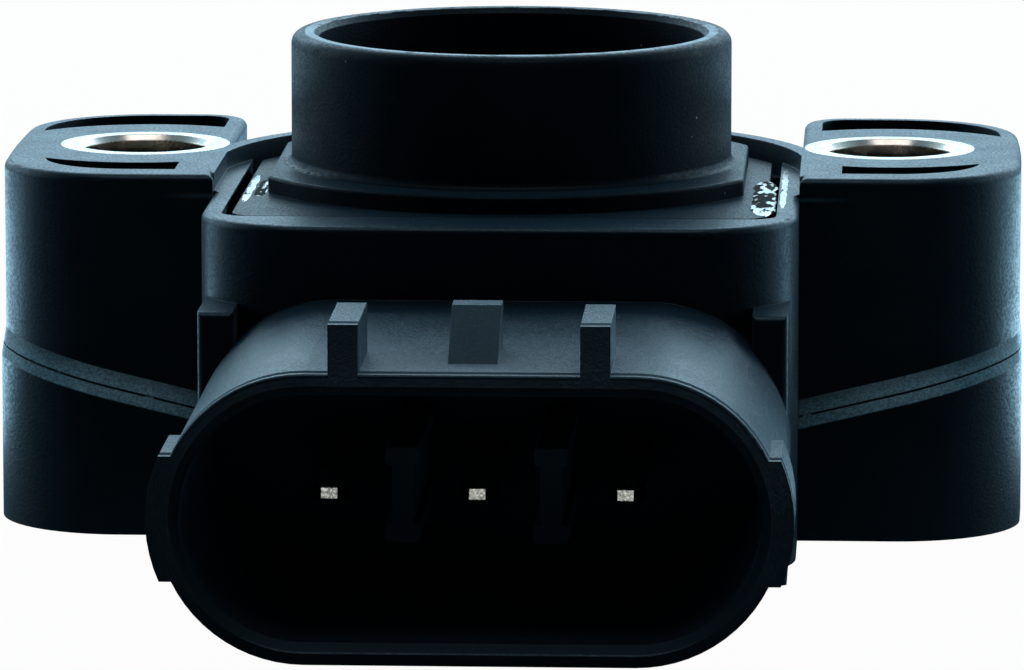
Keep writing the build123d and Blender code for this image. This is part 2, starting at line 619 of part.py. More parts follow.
def return_spring():
    """A left-hand torsion spring, with one leg down into the rotor and one up into the cover."""
    coil = Helix(SPRING_PITCH, SPRING_RISE, SPRING_R, lefthand=True)
    coil = Pos(0, 0, SPRING_BOTTOM_Z) * Rot(0, 0, SPRING_START_ANGLE) * coil
    wire = Plane(origin=coil @ 0, z_dir=coil % 0) * Circle(SPRING_WIRE_R)
    spring = sweep(wire, path=coil, is_frenet=True)
    return spring + spring_leg(coil @ 0, -(coil % 0)) + spring_leg(coil @ 1, coil % 1)


def wiper():
    """The staked contact: a curved strip under the disc with a pair of fingers on each track."""
    outer = COLLECTOR_R + TRACK_WIDTH / 2
    inner = RESISTOR_R - TRACK_WIDTH / 2
    plan = ring_sector(inner, outer, WIPER_END_ANGLE - WIPER_SWEEP_ANGLE, WIPER_END_ANGLE)
    for place in stake_places():
        plan = plan - Pos(*place) * Circle(STAKE_R + STAKE_CLEARANCE)
    part = slab(plan, DISC_BOTTOM_Z - WIPER_SHEET, DISC_BOTTOM_Z)

    tip_z = TRACK_TOP_Z + FINGER_CLEARANCE
    side = Polyline(
        (0, DISC_BOTTOM_Z),
        (FINGER_RUN, tip_z + WIPER_SHEET),
        (FINGER_RUN + FINGER_TOE, tip_z + 2 * WIPER_SHEET),
        (FINGER_RUN + FINGER_TOE, tip_z + WIPER_SHEET),
        (FINGER_RUN, tip_z),
        (-WIPER_SHEET, DISC_BOTTOM_Z - WIPER_SHEET),
        (-WIPER_SHEET, DISC_BOTTOM_Z),
        close=True,
    )
    finger = extrude(Plane.YZ * make_face(side), FINGER_WIDTH / 2, both=True)
    for track_r in (RESISTOR_R, COLLECTOR_R):
        contact_angle = WIPER_END_ANGLE + math.degrees(math.atan2(FINGER_RUN, track_r))
        for shift in (-FINGER_SHIFT, FINGER_SHIFT):
            part = part + Rot(0, 0, contact_angle) * Pos(track_r + shift, -FINGER_RUN, 0) * finger
    return part


def build():
    """Every node of the sensor, by name."""
    nodes = {
        "housing": housing(),
        "collar_cover": collar_cover(),
        "sealant": sealant(),
        "track_board": track_board(),
        "resistor_track": resistor_track(),
        "collector_track": collector_track(),
        "rotor": rotor(),
        "thrust_washer": thrust_washer(),
        "return_spring": return_spring(),
        "wiper": wiper(),
    }
    for name, side in (("bushing_left", -1), ("bushing_right", 1)):
        nodes[name] = Pos(side * SLEEVE_X, BOLT_LINE_Y) * bushing()
    for name, x in TERMINAL_X.items():
        nodes["terminal_" + name] = terminal(x)
        nodes["solder_" + name] = solder(x)
    return nodes


os.makedirs("parts", exist_ok=True)
for node_name, solid in build().items():
    export_step(solid, "parts/" + node_name + ".step")
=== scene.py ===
import math

import bmesh
import bpy
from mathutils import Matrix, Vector, noise


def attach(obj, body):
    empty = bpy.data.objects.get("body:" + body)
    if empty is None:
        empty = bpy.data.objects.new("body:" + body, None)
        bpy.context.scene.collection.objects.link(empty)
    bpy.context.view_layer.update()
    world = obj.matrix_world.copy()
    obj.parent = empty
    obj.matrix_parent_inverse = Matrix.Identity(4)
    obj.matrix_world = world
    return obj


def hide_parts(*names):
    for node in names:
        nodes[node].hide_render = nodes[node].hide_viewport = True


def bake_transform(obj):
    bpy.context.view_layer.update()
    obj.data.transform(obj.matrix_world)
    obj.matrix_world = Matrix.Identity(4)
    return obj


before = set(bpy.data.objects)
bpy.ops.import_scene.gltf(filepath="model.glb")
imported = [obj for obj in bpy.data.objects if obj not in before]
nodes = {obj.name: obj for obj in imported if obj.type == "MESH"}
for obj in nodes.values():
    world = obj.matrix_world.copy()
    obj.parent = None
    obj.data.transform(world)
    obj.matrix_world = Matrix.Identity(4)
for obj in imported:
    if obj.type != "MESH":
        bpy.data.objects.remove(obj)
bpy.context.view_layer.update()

MM = 0.001

# Sizes that the dressing shares with the solids, in millimetres
BASE_Z = -15.6
PLATE_Z = -0.76
COLLAR_Z = 5.7
COLLAR_LIP_R = 8.65
COLLAR_LIP_FLAT = 0.34
MOUTH_Y = -34.57
SOCKET_Z = -9.725
SOCKET_R = 5.0
SOCKET_HALF_FLAT = 6.6
COVER_HALF_WIDTH = 11.3
PEDESTAL_HALF_FLAT = 10.25
SEAT_HALF_WIDTH = 11.75
BODY_HALF_WIDTH = 12.65
SLEEVE_X = 16.5
SLEEVE_Y = 4.7
SKIRT_Z_INNER = -10.7
SKIRT_Z_OUTER = -8.4
SKIRT_STEP = 1.05
GROOVE_SAG = 0.52
EAR_REACH = 22.3
SPRING_R = 7.0
SPRING_WIRE_R = 0.3
SPRING_BOTTOM_Z = -7.3
SPRING_TOP_Z = -3.26
SPRING_TURNS = 4.25
SPRING_START_ANGLE = 75.0
SPRING_BEND_R = 0.5
SPRING_LEG = 1.3

# Sizes of the dressing alone, in millimetres
SHARP_EDGE_R = 0.06
SOFT_EDGE_R = 0.1
GRAIN_RELIEF = 0.011
FLASH_R = 0.035
FILM_RISE = 0.03
FILM_DEPTH = 0.05
MENISCUS_FRONT_Y = -9.7
MENISCUS_BACK_Y = 4.0
MENISCUS_DEPTH = 0.04
FLOOR_GAP = 0.02

# How finely curves and sheets are divided
SPRING_STEPS_PER_TURN = 48
SPRING_BEND_STEPS = 8
FLASH_STEPS = 360
FILM_ROWS = 64
FILM_COLUMNS = 14
MENISCUS_ROWS = 72
MENISCUS_COLUMNS = 12

# Texture scales that several materials share, in cells to the metre
GRAIN = 8000
LUMPS = 1900

# Tones of the black plastic: its body, worn edges painted paler also as a highlight, a painted highlight on
# the split-line bevel, painted shade in the grooves, dust and a painted highlight on the collar's lip
PLASTIC_DARK = (0.0014, 0.0034, 0.0056)
PLASTIC_LIGHT = (0.0028, 0.0062, 0.0096)
PLASTIC_WEAR_AND_HIGHLIGHT = (0.022, 0.046, 0.058)
PLASTIC_BEVEL_HIGHLIGHT = (0.115, 0.235, 0.285)
GROOVE_SHADE = (0.0008, 0.0012, 0.0018)
DUST = (0.55, 0.60, 0.61)
LIP_HIGHLIGHT = (0.36, 0.41, 0.43)

# How the plastic and the sealant reflect, and the least roughness inside the socket
PLASTIC_IOR = 1.5
SOCKET_ROUGHNESS = 0.62

# The tone of the plated sleeves between their ends
SLEEVE_DEEP_OLIVE = (0.026, 0.025, 0.005)

# The studio's colours, the glow of the strips painted into the floor's reflections, and how white the camera
# sees the floor
SKY = (0.46, 0.79, 1.0)
WHITE = (1.0, 1.0, 1.0)
REFLECTED_STRIP_GLOW = 4.6
FLOOR_SHOWN = 0.97


class Nodes:
    """A node tree, with a short way to add and join nodes."""

    def __init__(self, tree):
        self.tree = tree

    def add(self, kind, inputs=None, **settings):
        node = self.tree.nodes.new(kind)
        for key, value in settings.items():
            setattr(node, key, value)
        for key, value in (inputs or {}).items():
            self.put(node.inputs[key], value)
        return node

    def put(self, socket, value):
        if isinstance(value, bpy.types.NodeSocket):
            self.tree.links.new(value, socket)
        elif socket.type == "RGBA" and len(value) == 3:
            socket.default_value = (*value, 1.0)
        else:
            socket.default_value = value

    def math(self, operation, first, second=0.0):
        return self.add("ShaderNodeMath", {0: first, 1: second}, operation=operation).outputs[0]

    def times(self, first, second):
        return self.math("MULTIPLY", first, second)

    def larger(self, first, second):
        return self.math("MAXIMUM", first, second)

    def spread(self, value, low, high, to_low, to_high):
        """Carries one range of a value smoothly over to another."""
        inputs = {"Value": value, "From Min": low, "From Max": high, "To Min": to_low, "To Max": to_high}
        return self.add("ShaderNodeMapRange", inputs, interpolation_type="SMOOTHSTEP").outputs[0]

    def within(self, value, low, high, soft):
        """1 where a value in metres lies between two millimetre bounds, fading out over a soft width."""
        rise = self.spread(value, (low - soft) * MM, low * MM, 0.0, 1.0)
        fall = self.spread(value, high * MM, (high + soft) * MM, 1.0, 0.0)
        return self.times(rise, fall)

    def mix(self, share, first, second):
        node = self.add("ShaderNodeMix", data_type="RGBA")
        for index, value in ((0, share), (6, first), (7, second)):
            self.put(node.inputs[index], value)
        return node.outputs[2]

    def blend_shaders(self, share, first, second):
        return self.add("ShaderNodeMixShader", {0: share, 1: first, 2: second}).outputs[0]


class Shader(Nodes):
    """A material's node tree, with its textures placed in the object's own frame."""

    def __init__(self, name):
        self.material = bpy.data.materials.new(name)
        self.material.use_nodes = True
        super().__init__(self.material.node_tree)
        self.bsdf = self.tree.nodes["Principled BSDF"]
        self.place = self.add("ShaderNodeTexCoord").outputs["Object"]

    def set(self, **values):
        for key, value in values.items():
            self.put(self.bsdf.inputs[key.replace("_", " ")], value)

    def stretched(self, scale, offset=(0, 0, 0)):
        mapping = self.add("ShaderNodeMapping", {"Vector": self.place, "Scale": scale, "Location": offset})
        return mapping.outputs["Vector"]

    def noise(self, scale, detail=2.0, vector=None):
        inputs = {"Vector": vector or self.place, "Scale": scale, "Detail": detail}
        return self.add("ShaderNodeTexNoise", inputs).outputs[0]

    def voronoi(self, scale):
        return self.add("ShaderNodeTexVoronoi", {"Vector": self.place, "Scale": scale}).outputs

    def bump(self, height, strength, depth, normal=None):
        """Normals tilted by a height, whose depth is in millimetres."""
        inputs = {"Height": height, "Strength": strength, "Distance": depth * MM}
        if normal is not None:
            inputs["Normal"] = normal
        return self.add("ShaderNodeBump", inputs).outputs[0]

    def rounded(self, radius):
        """Normals that are rounded near edges."""
        return self.add("ShaderNodeBevel", {"Radius": radius * MM}, samples=6).outputs[0]

    def edge_mask(self, rounded):
        """1 on edges, where the rounded normals leave the plain ones."""
        plain = self.add("ShaderNodeNewGeometry").outputs["Normal"]
        dot = self.add("ShaderNodeVectorMath", {0: rounded, 1: plain}, operation="DOT_PRODUCT")
        return self.spread(dot.outputs["Value"], 0.995, 0.86, 0.0, 1.0)

    def axes(self):
        split = self.add("ShaderNodeSeparateXYZ", {0: self.place})
        return split.outputs[0], split.outputs[1], split.outputs[2]


def dust_specks(shader):
    """Scattered round specks of dust."""
    specks = shader.voronoi(620.0)
    chosen = shader.math("GREATER_THAN", specks["Color"], 0.72)
    return shader.times(chosen, shader.spread(specks["Distance"], 0.02, 0.04, 0.8, 0.0))


def moulded_plastic(name, roughness, gloss):
    """Glass-filled black plastic: speckled gloss, fine grain, worn edges painted paler also as a highlight
    along them, and specks of dust.
    """
    shader = Shader(name)
    mottle = shader.spread(shader.noise(260, detail=5.0), 0.35, 0.65, 0.0, 1.0)
    colour = shader.mix(mottle, PLASTIC_DARK, PLASTIC_LIGHT)
    rounded = shader.rounded(SHARP_EDGE_R)
    uneven = shader.spread(shader.noise(900), 0.35, 0.7, 0.2, 1.0)
    rubbed_highlight = shader.times(shader.edge_mask(rounded), uneven)
    # Worn edges, painted paler also as a painted highlight along them
    colour = shader.mix(rubbed_highlight, colour, PLASTIC_WEAR_AND_HIGHLIGHT)
    colour = shader.mix(dust_specks(shader), colour, DUST)
    speckle = shader.noise(GRAIN, detail=1.0, vector=shader.stretched((1.0, 0.5, 1.0)))
    rough = shader.spread(speckle, 0.43, 0.57, roughness + 0.08, roughness - 0.04)
    cloud = shader.spread(shader.noise(520, detail=3.0), 0.3, 0.7, 0.03, -0.03)
    polish = shader.times(rubbed_highlight, 0.14)
    rough = shader.math("ADD", rough, shader.math("SUBTRACT", cloud, polish))
    relief = shader.bump(speckle, 1.0, GRAIN_RELIEF, rounded)
    shader.set(Base_Color=colour, Roughness=rough, Normal=relief, IOR=PLASTIC_IOR, Specular_IOR_Level=gloss)
    shader.set(Specular_Tint=(0.45, 0.78, 1.0))
    shader.set(Sheen_Weight=0.1, Sheen_Roughness=0.4, Sheen_Tint=(0.28, 0.66, 1.0))
    return shader


def split_line(shader):
    """The bevel where the mould splits round the ears, which carries a painted highlight with painted shade
    towards its top, and the broken line half-way up it.
    """
    x, y, z = shader.axes()
    slope = (SKIRT_Z_OUTER - SKIRT_Z_INNER) / (EAR_REACH - BODY_HALF_WIDTH)
    middle = (SKIRT_Z_INNER + SKIRT_STEP / 2) * MM
    out = shader.math("SUBTRACT", shader.math("ABSOLUTE", x), BODY_HALF_WIDTH * MM)
    height = shader.math("ADD", shader.times(out, slope), middle)
    above = shader.math("SUBTRACT", z, height)
    on_ear = shader.spread(out, 0.0, 0.1 * MM, 0.0, 1.0)
    on_ear = shader.times(on_ear, shader.spread(y, -9.0 * MM, -8.0 * MM, 0.0, 1.0))
    bevel = shader.times(shader.within(above, -SKIRT_STEP / 2, SKIRT_STEP / 2, 0.06), on_ear)
    # The bevel's painted highlight fades towards its top, as painted shade under the wall above it
    bevel = shader.times(bevel, shader.spread(above, 0.0, SKIRT_STEP / 2 * MM, 1.0, 0.45))
    broken = shader.spread(shader.noise(1600, detail=2.0), 0.28, 0.36, 0.0, 1.0)
    line = shader.times(shader.within(above, -0.11, -0.06, 0.03), on_ear)
    return bevel, shader.times(line, broken)


def mouth_line(shader):
    """The thin groove over the connector's shroud just behind its mouth."""
    _, y, z = shader.axes()
    groove = shader.within(y, MOUTH_Y + 0.4, MOUTH_Y + 0.85, 0.12)
    return shader.times(groove, shader.spread(z, -10.5 * MM, -9.5 * MM, 0.0, 1.0))


def socket_inside(shader):
    """1 on the walls inside the connector's socket, which are rougher than the outside."""
    x, y, z = shader.axes()
    beyond_flat = shader.math("SUBTRACT", shader.math("ABSOLUTE", x), SOCKET_HALF_FLAT * MM)
    aside = shader.larger(beyond_flat, 0.0)
    away = shader.math("SUBTRACT", z, SOCKET_Z * MM)
    reach = shader.math("SQRT", shader.math("ADD", shader.times(aside, aside), shader.times(away, away)))
    inside = shader.spread(reach, (SOCKET_R + 0.3) * MM, (SOCKET_R + 0.4) * MM, 1.0, 0.0)
    return shader.times(inside, shader.spread(y, -15.5 * MM, -15.0 * MM, 1.0, 0.0))


def ear_line_highlight(shader):
    """A painted highlight: a faint pale line across the ears' fronts, level with the body's rim."""
    x, y, z = shader.axes()
    level = shader.within(z, PLATE_Z - 0.18, PLATE_Z - 0.1, 0.1)
    beside = shader.within(shader.math("ABSOLUTE", x), BODY_HALF_WIDTH, BODY_HALF_WIDTH + 0.6, 2.0)
    in_front = shader.spread(y, -5.0 * MM, -4.0 * MM, 0.8, 0.0)
    return shader.times(shader.times(level, beside), in_front)


def housing_material():
    """The housing's plastic, with a painted highlight on its split-line bevel and across the ears' fronts,
    painted shade in the grooves of its split line and mouth, and a dull socket.
    """
    shader = moulded_plastic("housing_plastic", roughness=0.4, gloss=0.5)
    base, normal, rough = (shader.bsdf.inputs[key] for key in ("Base Color", "Normal", "Roughness"))
    bevel, line = split_line(shader)
    groove = shader.larger(line, mouth_line(shader))
    mottled = shader.spread(shader.noise(GRAIN, detail=2.0), 0.35, 0.65, 0.45, 1.0)
    # Painted highlight: the split-line bevel is painted a pale, mottled teal
    colour = shader.mix(shader.times(bevel, mottled), base.links[0].from_socket, PLASTIC_BEVEL_HIGHLIGHT)
    # Painted highlight: a pale line across the ears' fronts
    colour = shader.mix(ear_line_highlight(shader), colour, PLASTIC_WEAR_AND_HIGHLIGHT)
    # Painted shade: the sunk split line and mouth groove are painted darker
    shader.put(base, shader.mix(groove, colour, GROOVE_SHADE))
    dull = shader.larger(shader.times(socket_inside(shader), SOCKET_ROUGHNESS), groove)
    shader.put(rough, shader.larger(dull, rough.links[0].from_socket))
    sunk = shader.math("SUBTRACT", 1.0, groove)
    shader.put(normal, shader.bump(sunk, 0.6, 0.05, normal.links[0].from_socket))
    return shader.material


def lip_line(shader):
    """A painted highlight on the flat of the collar's lip, smooth but broken, and fainter round the back."""
    x, y, z = shader.axes()
    radius = shader.math("SQRT", shader.math("ADD", shader.times(x, x), shader.times(y, y)))
    ring = shader.within(radius, COLLAR_LIP_R - 0.02, COLLAR_LIP_R + COLLAR_LIP_FLAT, 0.05)
    on_top = shader.spread(z, (COLLAR_Z - 0.1) * MM, (COLLAR_Z - 0.05) * MM, 0.0, 1.0)
    broken = shader.spread(shader.noise(1100, detail=4.0), 0.36, 0.52, 0.1, 1.0)
    ring = shader.times(shader.times(ring, on_top), broken)
    return shader.times(ring, shader.spread(y, -1.0 * MM, 5.0 * MM, 1.0, 0.12))


def cover_material():
    """The cover's plastic, with a painted highlight on its collar's lip."""
    shader = moulded_plastic("cover_plastic", roughness=0.44, gloss=0.15)
    base, rough = shader.bsdf.inputs["Base Color"], shader.bsdf.inputs["Roughness"]
    lip = lip_line(shader)
    # Painted highlight along the collar's lip
    shader.put(base, shader.mix(lip, base.links[0].from_socket, LIP_HIGHLIGHT))
    smooth = shader.times(lip, 0.3)
    shader.put(rough, shader.math("SUBTRACT", rough.links[0].from_socket, smooth))
    return shader.material


def cured_sealant(name, gloss):
    """Cured black sealant: lumpy and dusty, with a painted glint, a pale streak beside the cover's left edge.
    """
    shader = Shader(name)
    lumps = shader.noise(LUMPS, detail=3.0)
    dust = shader.spread(shader.noise(5200, detail=2.0), 0.55, 0.75, 0.0, 0.5)
    colour = shader.mix(dust, (0.002, 0.003, 0.004), (0.02, 0.03, 0.035))
    x, y, _ = shader.axes()
    streak = shader.within(x, -COVER_HALF_WIDTH - 0.2, -COVER_HALF_WIDTH - 0.1, 0.03)
    streak = shader.times(streak, shader.within(y, -9.0, -1.0, 0.5))
    broken = shader.spread(shader.noise(2600, detail=3.0), 0.42, 0.56, 0.0, 1.0)
    # Painted glint: a pale streak beside the cover's left edge
    colour = shader.mix(shader.times(streak, broken), colour, (0.85, 0.9, 0.92))
    rough = shader.spread(lumps, 0.3, 0.7, 0.34, 0.5)
    relief = shader.bump(lumps, 0.5, 0.06)
    shader.set(Base_Color=colour, Roughness=rough, Normal=relief, IOR=PLASTIC_IOR, Specular_IOR_Level=gloss)
    return shader.material


def cured_film(name, cover, front_cover=None, front_y=0.0):
    """Sealant that dried in a thin film: pale flakes on black, denser towards the front if asked."""
    shader = Shader(name)
    flakes = shader.noise(3000, detail=4.0, vector=shader.stretched((1.0, 0.3, 1.0)))
    if front_cover is not None:
        _, y, _ = shader.axes()
        cover = shader.spread(y, (front_y - 2.0) * MM, (front_y + 2.5) * MM, front_cover, cover)
    pale = shader.spread(shader.math("ADD", flakes, cover), 0.54, 0.64, 0.0, 1.0)
    colour = shader.mix(pale, (0.004, 0.006, 0.008), (0.96, 0.92, 0.90))
    lumps = shader.noise(LUMPS, detail=3.0)
    rough = shader.spread(pale, 0.0, 1.0, 0.7, 0.12)
    rough = shader.math("ADD", rough, shader.times(lumps, 0.15))
    relief = shader.bump(pale, 0.3, 0.01, shader.bump(lumps, 0.3, 0.02))
    shader.set(Base_Color=colour, Metallic=shader.times(pale, 0.8), Roughness=rough, Normal=relief)
    shader.set(IOR=PLASTIC_IOR, Specular_IOR_Level=0.1)
    return shader.material


def plated_steel(name, side):
    """Zinc-plated sleeve: faint turned rings on the ends, cloudy plating, and a dark olive tone between the
    ends.
    """
    shader = Shader(name)
    place = shader.stretched((1.0, 1.0, 1.0), (-side * SLEEVE_X * MM, -SLEEVE_Y * MM, 0.0))
    rings = shader.add(
        "ShaderNodeTexWave",
        {"Vector": place, "Scale": 2600.0, "Distortion": 1.5, "Detail": 2.0, "Detail Scale": 1.5},
        wave_type="RINGS",
        rings_direction="Z",
    ).outputs["Fac"]
    clouds = shader.spread(shader.noise(700, detail=4.0), 0.35, 0.65, 0.0, 1.0)
    colour = shader.mix(clouds, (1.0, 0.88, 0.78), (0.94, 0.80, 0.68))
    _, _, z = shader.axes()
    deep = shader.within(z, BASE_Z + 0.6, -0.8, 0.35)
    colour = shader.mix(deep, colour, SLEEVE_DEEP_OLIVE)
    rough = shader.spread(shader.noise(1400, detail=3.0), 0.35, 0.7, 0.2, 0.3)
    relief = shader.bump(rings, 0.08, 0.01, shader.rounded(SOFT_EDGE_R))
    shader.set(Base_Color=colour, Metallic=1.0, Roughness=rough, Normal=relief)
    return shader.material


def drawn_metal(name, pale, dull, roughness, along=(1.0, 0.12, 1.0), grain=5200):
    """Sheet or wire metal with drawing lines, a cloudy tone and softened edges."""
    shader = Shader(name)
    lines = shader.noise(grain, detail=3.0, vector=shader.stretched(along))
    clouds = shader.spread(shader.noise(850, detail=4.0), 0.35, 0.65, 0.0, 1.0)
    colour = shader.mix(clouds, pale, dull)
    rough = shader.spread(lines, 0.3, 0.7, roughness - 0.08, roughness + 0.1)
    relief = shader.bump(lines, 0.3, 0.008, shader.rounded(SHARP_EDGE_R))
    shader.set(Base_Color=colour, Metallic=1.0, Roughness=rough, Normal=relief)
    return shader.material


def solder_metal():
    """Bright solder with a frosted skin."""
    shader = Shader("solder_joint")
    frost = shader.voronoi(4200)["Distance"]
    colour = shader.mix(shader.spread(frost, 0.1, 0.6, 0.0, 1.0), (0.78, 0.78, 0.77), (0.58, 0.58, 0.58))
    rough = shader.spread(shader.noise(2600, detail=3.0), 0.3, 0.7, 0.2, 0.4)
    shader.set(Base_Color=colour, Metallic=1.0, Roughness=rough, Normal=shader.bump(frost, 0.3, 0.02))
    return shader.material


def printed_layer(name, ink, gaps, roughness, metallic):
    """A screen-printed layer: the screen's faint weave, pinholes and an uneven gloss."""
    shader = Shader(name)
    bricks = {"Vector": shader.place, "Scale": 5200.0, "Mortar Size": 0.03}
    tones = {"Color1": ink, "Color2": ink, "Mortar": gaps}
    weave = shader.add("ShaderNodeTexBrick", {**bricks, **tones}).outputs["Color"]
    pinholes = shader.spread(shader.voronoi(2400)["Distance"], 0.04, 0.1, 1.0, 0.0)
    colour = shader.mix(pinholes, weave, gaps)
    rough = shader.spread(shader.noise(1800, detail=3.0), 0.3, 0.7, roughness - 0.1, roughness + 0.1)
    relief = shader.bump(shader.noise(6000, detail=2.0), 0.3, 0.01)
    shader.set(Base_Color=colour, Metallic=metallic, Roughness=rough, Normal=relief)
    return shader.material


def fired_ceramic():
    """White alumina: fine sintered grain with faint grey specks."""
    shader = Shader("ceramic_board")
    specks = shader.spread(shader.noise(6400, detail=2.0), 0.6, 0.75, 0.0, 0.5)
    tone = shader.mix(shader.noise(300, detail=3.0), (0.80, 0.79, 0.76), (0.87, 0.86, 0.83))
    colour = shader.mix(specks, tone, (0.55, 0.54, 0.52))
    relief = shader.bump(shader.noise(9000, detail=2.0), 0.35, 0.01)
    rough = shader.spread(specks, 0.0, 0.5, 0.55, 0.7)
    shader.set(Base_Color=colour, Roughness=rough, Normal=relief)
    return shader.material


def soft_polymer(name, first, second, roughness):
    """Unfilled moulded polymer with flow marks and softened edges."""
    shader = Shader(name)
    flow = shader.noise(420, detail=4.0, vector=shader.stretched((1.0, 1.0, 3.0)))
    colour = shader.mix(shader.spread(flow, 0.3, 0.7, 0.0, 1.0), first, second)
    relief = shader.bump(shader.noise(5200, detail=2.0), 0.25, 0.01, shader.rounded(SOFT_EDGE_R))
    rough = shader.spread(flow, 0.3, 0.7, roughness - 0.06, roughness + 0.08)
    shader.set(Base_Color=colour, Roughness=rough, Normal=relief)
    return shader.material


def dress(name, material):
    """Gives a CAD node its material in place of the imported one."""
    mesh = nodes[name].data
    mesh.materials.clear()
    mesh.materials.append(material)


def new_piece(name, mesh, material):
    """A new mesh piece in the scene, with its material."""
    mesh.materials.clear()
    mesh.materials.append(material)
    piece = bpy.data.objects.new(name, mesh)
    bpy.context.scene.collection.objects.link(piece)
    return piece


def wire_mesh(name, points, radius, closed=False):
    """A round wire along a line of points, open or closed, as a mesh."""
    curve = bpy.data.curves.new(name, "CURVE")
    curve.dimensions = "3D"
    curve.bevel_depth = radius
    curve.bevel_resolution = 4
    curve.use_fill_caps = True
    spline = curve.splines.new("POLY")
    spline.points.add(len(points) - 1)
    spline.use_cyclic_u = closed
    for place, point in zip(spline.points, points):
        place.co = (*point, 1.0)
    holder = bpy.data.objects.new(name + "_line", curve)
    bpy.context.scene.collection.objects.link(holder)
    bpy.context.view_layer.update()
    mesh = bpy.data.meshes.new_from_object(holder.evaluated_get(bpy.context.evaluated_depsgraph_get()))
    bpy.data.objects.remove(holder)
    mesh.name = name
    mesh.polygons.foreach_set("use_smooth", [True] * len(mesh.polygons))
    return mesh


def spring_leg(start, along, down):
    """The bent end of the spring's wire, from the coil's end outwards."""
    points = []
    for step in range(1, SPRING_BEND_STEPS + 1):
        turn = math.pi / 2 * step / SPRING_BEND_STEPS
        forward = along * SPRING_BEND_R * math.sin(turn)
        sideways = down * SPRING_BEND_R * (1 - math.cos(turn))
        points.append(start + forward + sideways)
    return points + [points[-1] + down * SPRING_LEG]


def spring_line():
    """The spring's centre line: a leg down into the rotor, the coil, and a leg up into the cover."""
    steps = int(SPRING_TURNS * SPRING_STEPS_PER_TURN)
    coil = []
    for step in range(steps + 1):
        share = step / steps
        angle = math.radians(SPRING_START_ANGLE - 360.0 * SPRING_TURNS * share)
        height = SPRING_BOTTOM_Z + (SPRING_TOP_Z - SPRING_BOTTOM_Z) * share
        coil.append(Vector((SPRING_R * math.cos(angle), SPRING_R * math.sin(angle), height)))
    lower = spring_leg(coil[0], (coil[0] - coil[1]).normalized(), Vector((0, 0, -1)))
    upper = spring_leg(coil[-1], (coil[-1] - coil[-2]).normalized(), Vector((0, 0, 1)))
    return [point * MM for point in lower[::-1] + coil + upper]


def lip_flash():
    """The ragged ridge of flash round the inner edge of the collar's lip."""
    points = []
    for step in range(FLASH_STEPS):
        angle = math.radians(360 * step / FLASH_STEPS)
        away = Vector((math.cos(angle), math.sin(angle), 0.0))
        ragged = noise.noise(away * 14.0)
        sunk = FLASH_R + 0.05 * max(0.0, noise.noise(away * 9.0 + Vector((0, 0, 4.0))))
        points.append((away * (COLLAR_LIP_R + 0.025 * ragged) + Vector((0, 0, COLLAR_Z - sunk))) * MM)
    return wire_mesh("lip_flash", points, FLASH_R * MM, closed=True)


def sheet_mesh(name, grid, depth):
    """A thin closed sheet over a grid of points in millimetres."""
    shape = bmesh.new()
    lines = [[shape.verts.new(point * MM) for point in line] for line in grid]
    for near, far in zip(lines, lines[1:]):
        for first in range(len(near) - 1):
            shape.faces.new((near[first], near[first + 1], far[first + 1], far[first]))
    under = bmesh.ops.extrude_face_region(shape, geom=shape.faces[:], use_keep_orig=True)
    for item in under["geom"]:
        if isinstance(item, bmesh.types.BMVert):
            item.co.z -= depth * MM
    bmesh.ops.recalc_face_normals(shape, faces=shape.faces)
    mesh = bpy.data.meshes.new(name)
    shape.to_mesh(mesh)
    shape.free()
    mesh.polygons.foreach_set("use_smooth", [True] * len(mesh.polygons))
    return mesh


def smear_grid(inner_x, outer_x, front_y, back_y, height, seed):
    """A thin film of sealant with a wandering edge, domed over its middle."""
    grid = []
    for row in range(FILM_ROWS + 1):
        along = row / FILM_ROWS
        y = front_y + (back_y - front_y) * along
        width = 0.86 + 0.28 * noise.noise(Vector((y * 0.9, seed, 0.0)))
        taper = min(1.0, 6 * along, 6 * (1 - along)) ** 0.5
        line = []
        for column in range(FILM_COLUMNS + 1):
            across = column / FILM_COLUMNS
            shrink = 0.5 + (across - 0.5) * width * taper
            x = inner_x + (outer_x - inner_x) * shrink
            dome = (1 - (2 * across - 1) ** 4) * (1 - (2 * along - 1) ** 8)
            lump = 0.75 + 0.3 * noise.noise(Vector((x * 1.2, y * 0.5, seed)))
            line.append(Vector((x, y, PLATE_Z - 0.01 + height * dome * lump)))
        grid.append(line)
    return grid


def meniscus_grid(side, front_y, back_y, seed):
    """Sealant that climbs both walls of the groove beside the cover and sags between them."""
    grid = []
    for row in range(MENISCUS_ROWS + 1):
        along = row / MENISCUS_ROWS
        y = front_y + (back_y - front_y) * along
        climb = min(1.0, 10 * along, 10 * (1 - along))
        ragged = noise.noise(Vector((y * 1.1, seed, 0.0)))
        line = []
        for column in range(MENISCUS_COLUMNS + 1):
            across = column / MENISCUS_COLUMNS
            x = SEAT_HALF_WIDTH - 0.01 + (COVER_HALF_WIDTH + 0.02 - SEAT_HALF_WIDTH) * across
            wall = (0.44 + 0.04 * ragged) * max(0.0, 1 - 2 * across) ** 2.2
            edge = (0.36 + 0.08 * ragged) * max(0.0, 2 * across - 1) ** 2.2
            line.append(Vector((side * x, y, PLATE_Z - GROOVE_SAG + climb * (wall + edge))))
        grid.append(line)
    return grid


